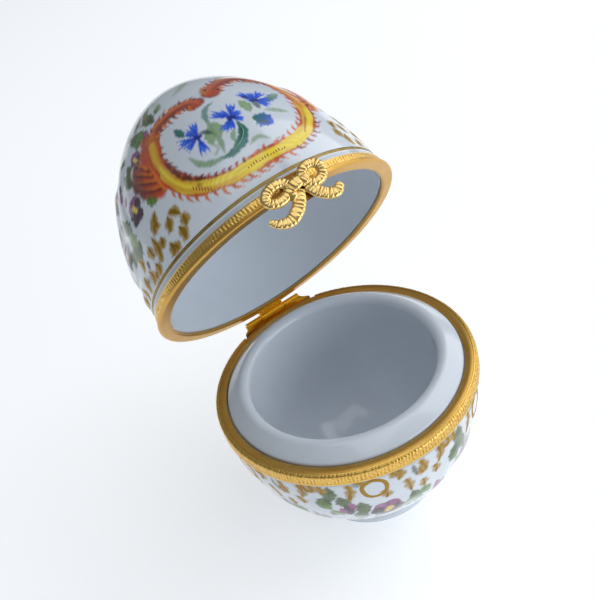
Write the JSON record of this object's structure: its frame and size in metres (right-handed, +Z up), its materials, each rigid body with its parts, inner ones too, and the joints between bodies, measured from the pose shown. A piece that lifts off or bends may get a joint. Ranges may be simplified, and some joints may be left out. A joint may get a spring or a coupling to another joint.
{
  "type": "egg-shaped porcelain trinket box",
  "caption": "Hinged egg-shaped box of painted porcelain with a domed lid, gilt brass rims, a knuckle hinge and a bow-shaped spring clasp.",
  "frame": {"origin": "centre of the underside of the foot ring, on the surface that the box stands on", "axes": "+Z up through the middle of the cup; -Y to the front, where the clasp is; +X to the right, along the hinge line"},
  "size_m": [0.046, 0.0639, 0.0727],
  "materials": {
    "painted_porcelain": "gloss",
    "plaster": "matte",
    "engraved_brass": "satin",
    "smooth_brass": "satin",
    "bright_brass": "polished"
  },
  "bodies": {
    "base": {"base_porcelain": "painted_porcelain", "base_cement": "plaster", "base_band": "engraved_brass", "base_bezel": "smooth_brass", "base_hinge_leaf": "bright_brass", "base_knuckle_left": "bright_brass", "base_knuckle_right": "bright_brass", "hinge_pin": "bright_brass"},
    "lid": {"lid_porcelain": "painted_porcelain", "lid_cement": "plaster", "lid_band": "engraved_brass", "lid_bezel": "smooth_brass", "lid_hinge_leaf": "bright_brass", "lid_knuckle": "bright_brass", "clasp_tongue": "smooth_brass", "clasp_bow": "bright_brass", "clasp_rivet": "bright_brass"}
  },
  "joints": [
    {"name": "lid_hinge", "type": "hinge", "parent": "base", "child": "lid", "pos_m": [0, 0.02366, 0.0258], "axis": [-1, 0, 0], "range_deg": [-53.7, 46.3]}
  ]
}
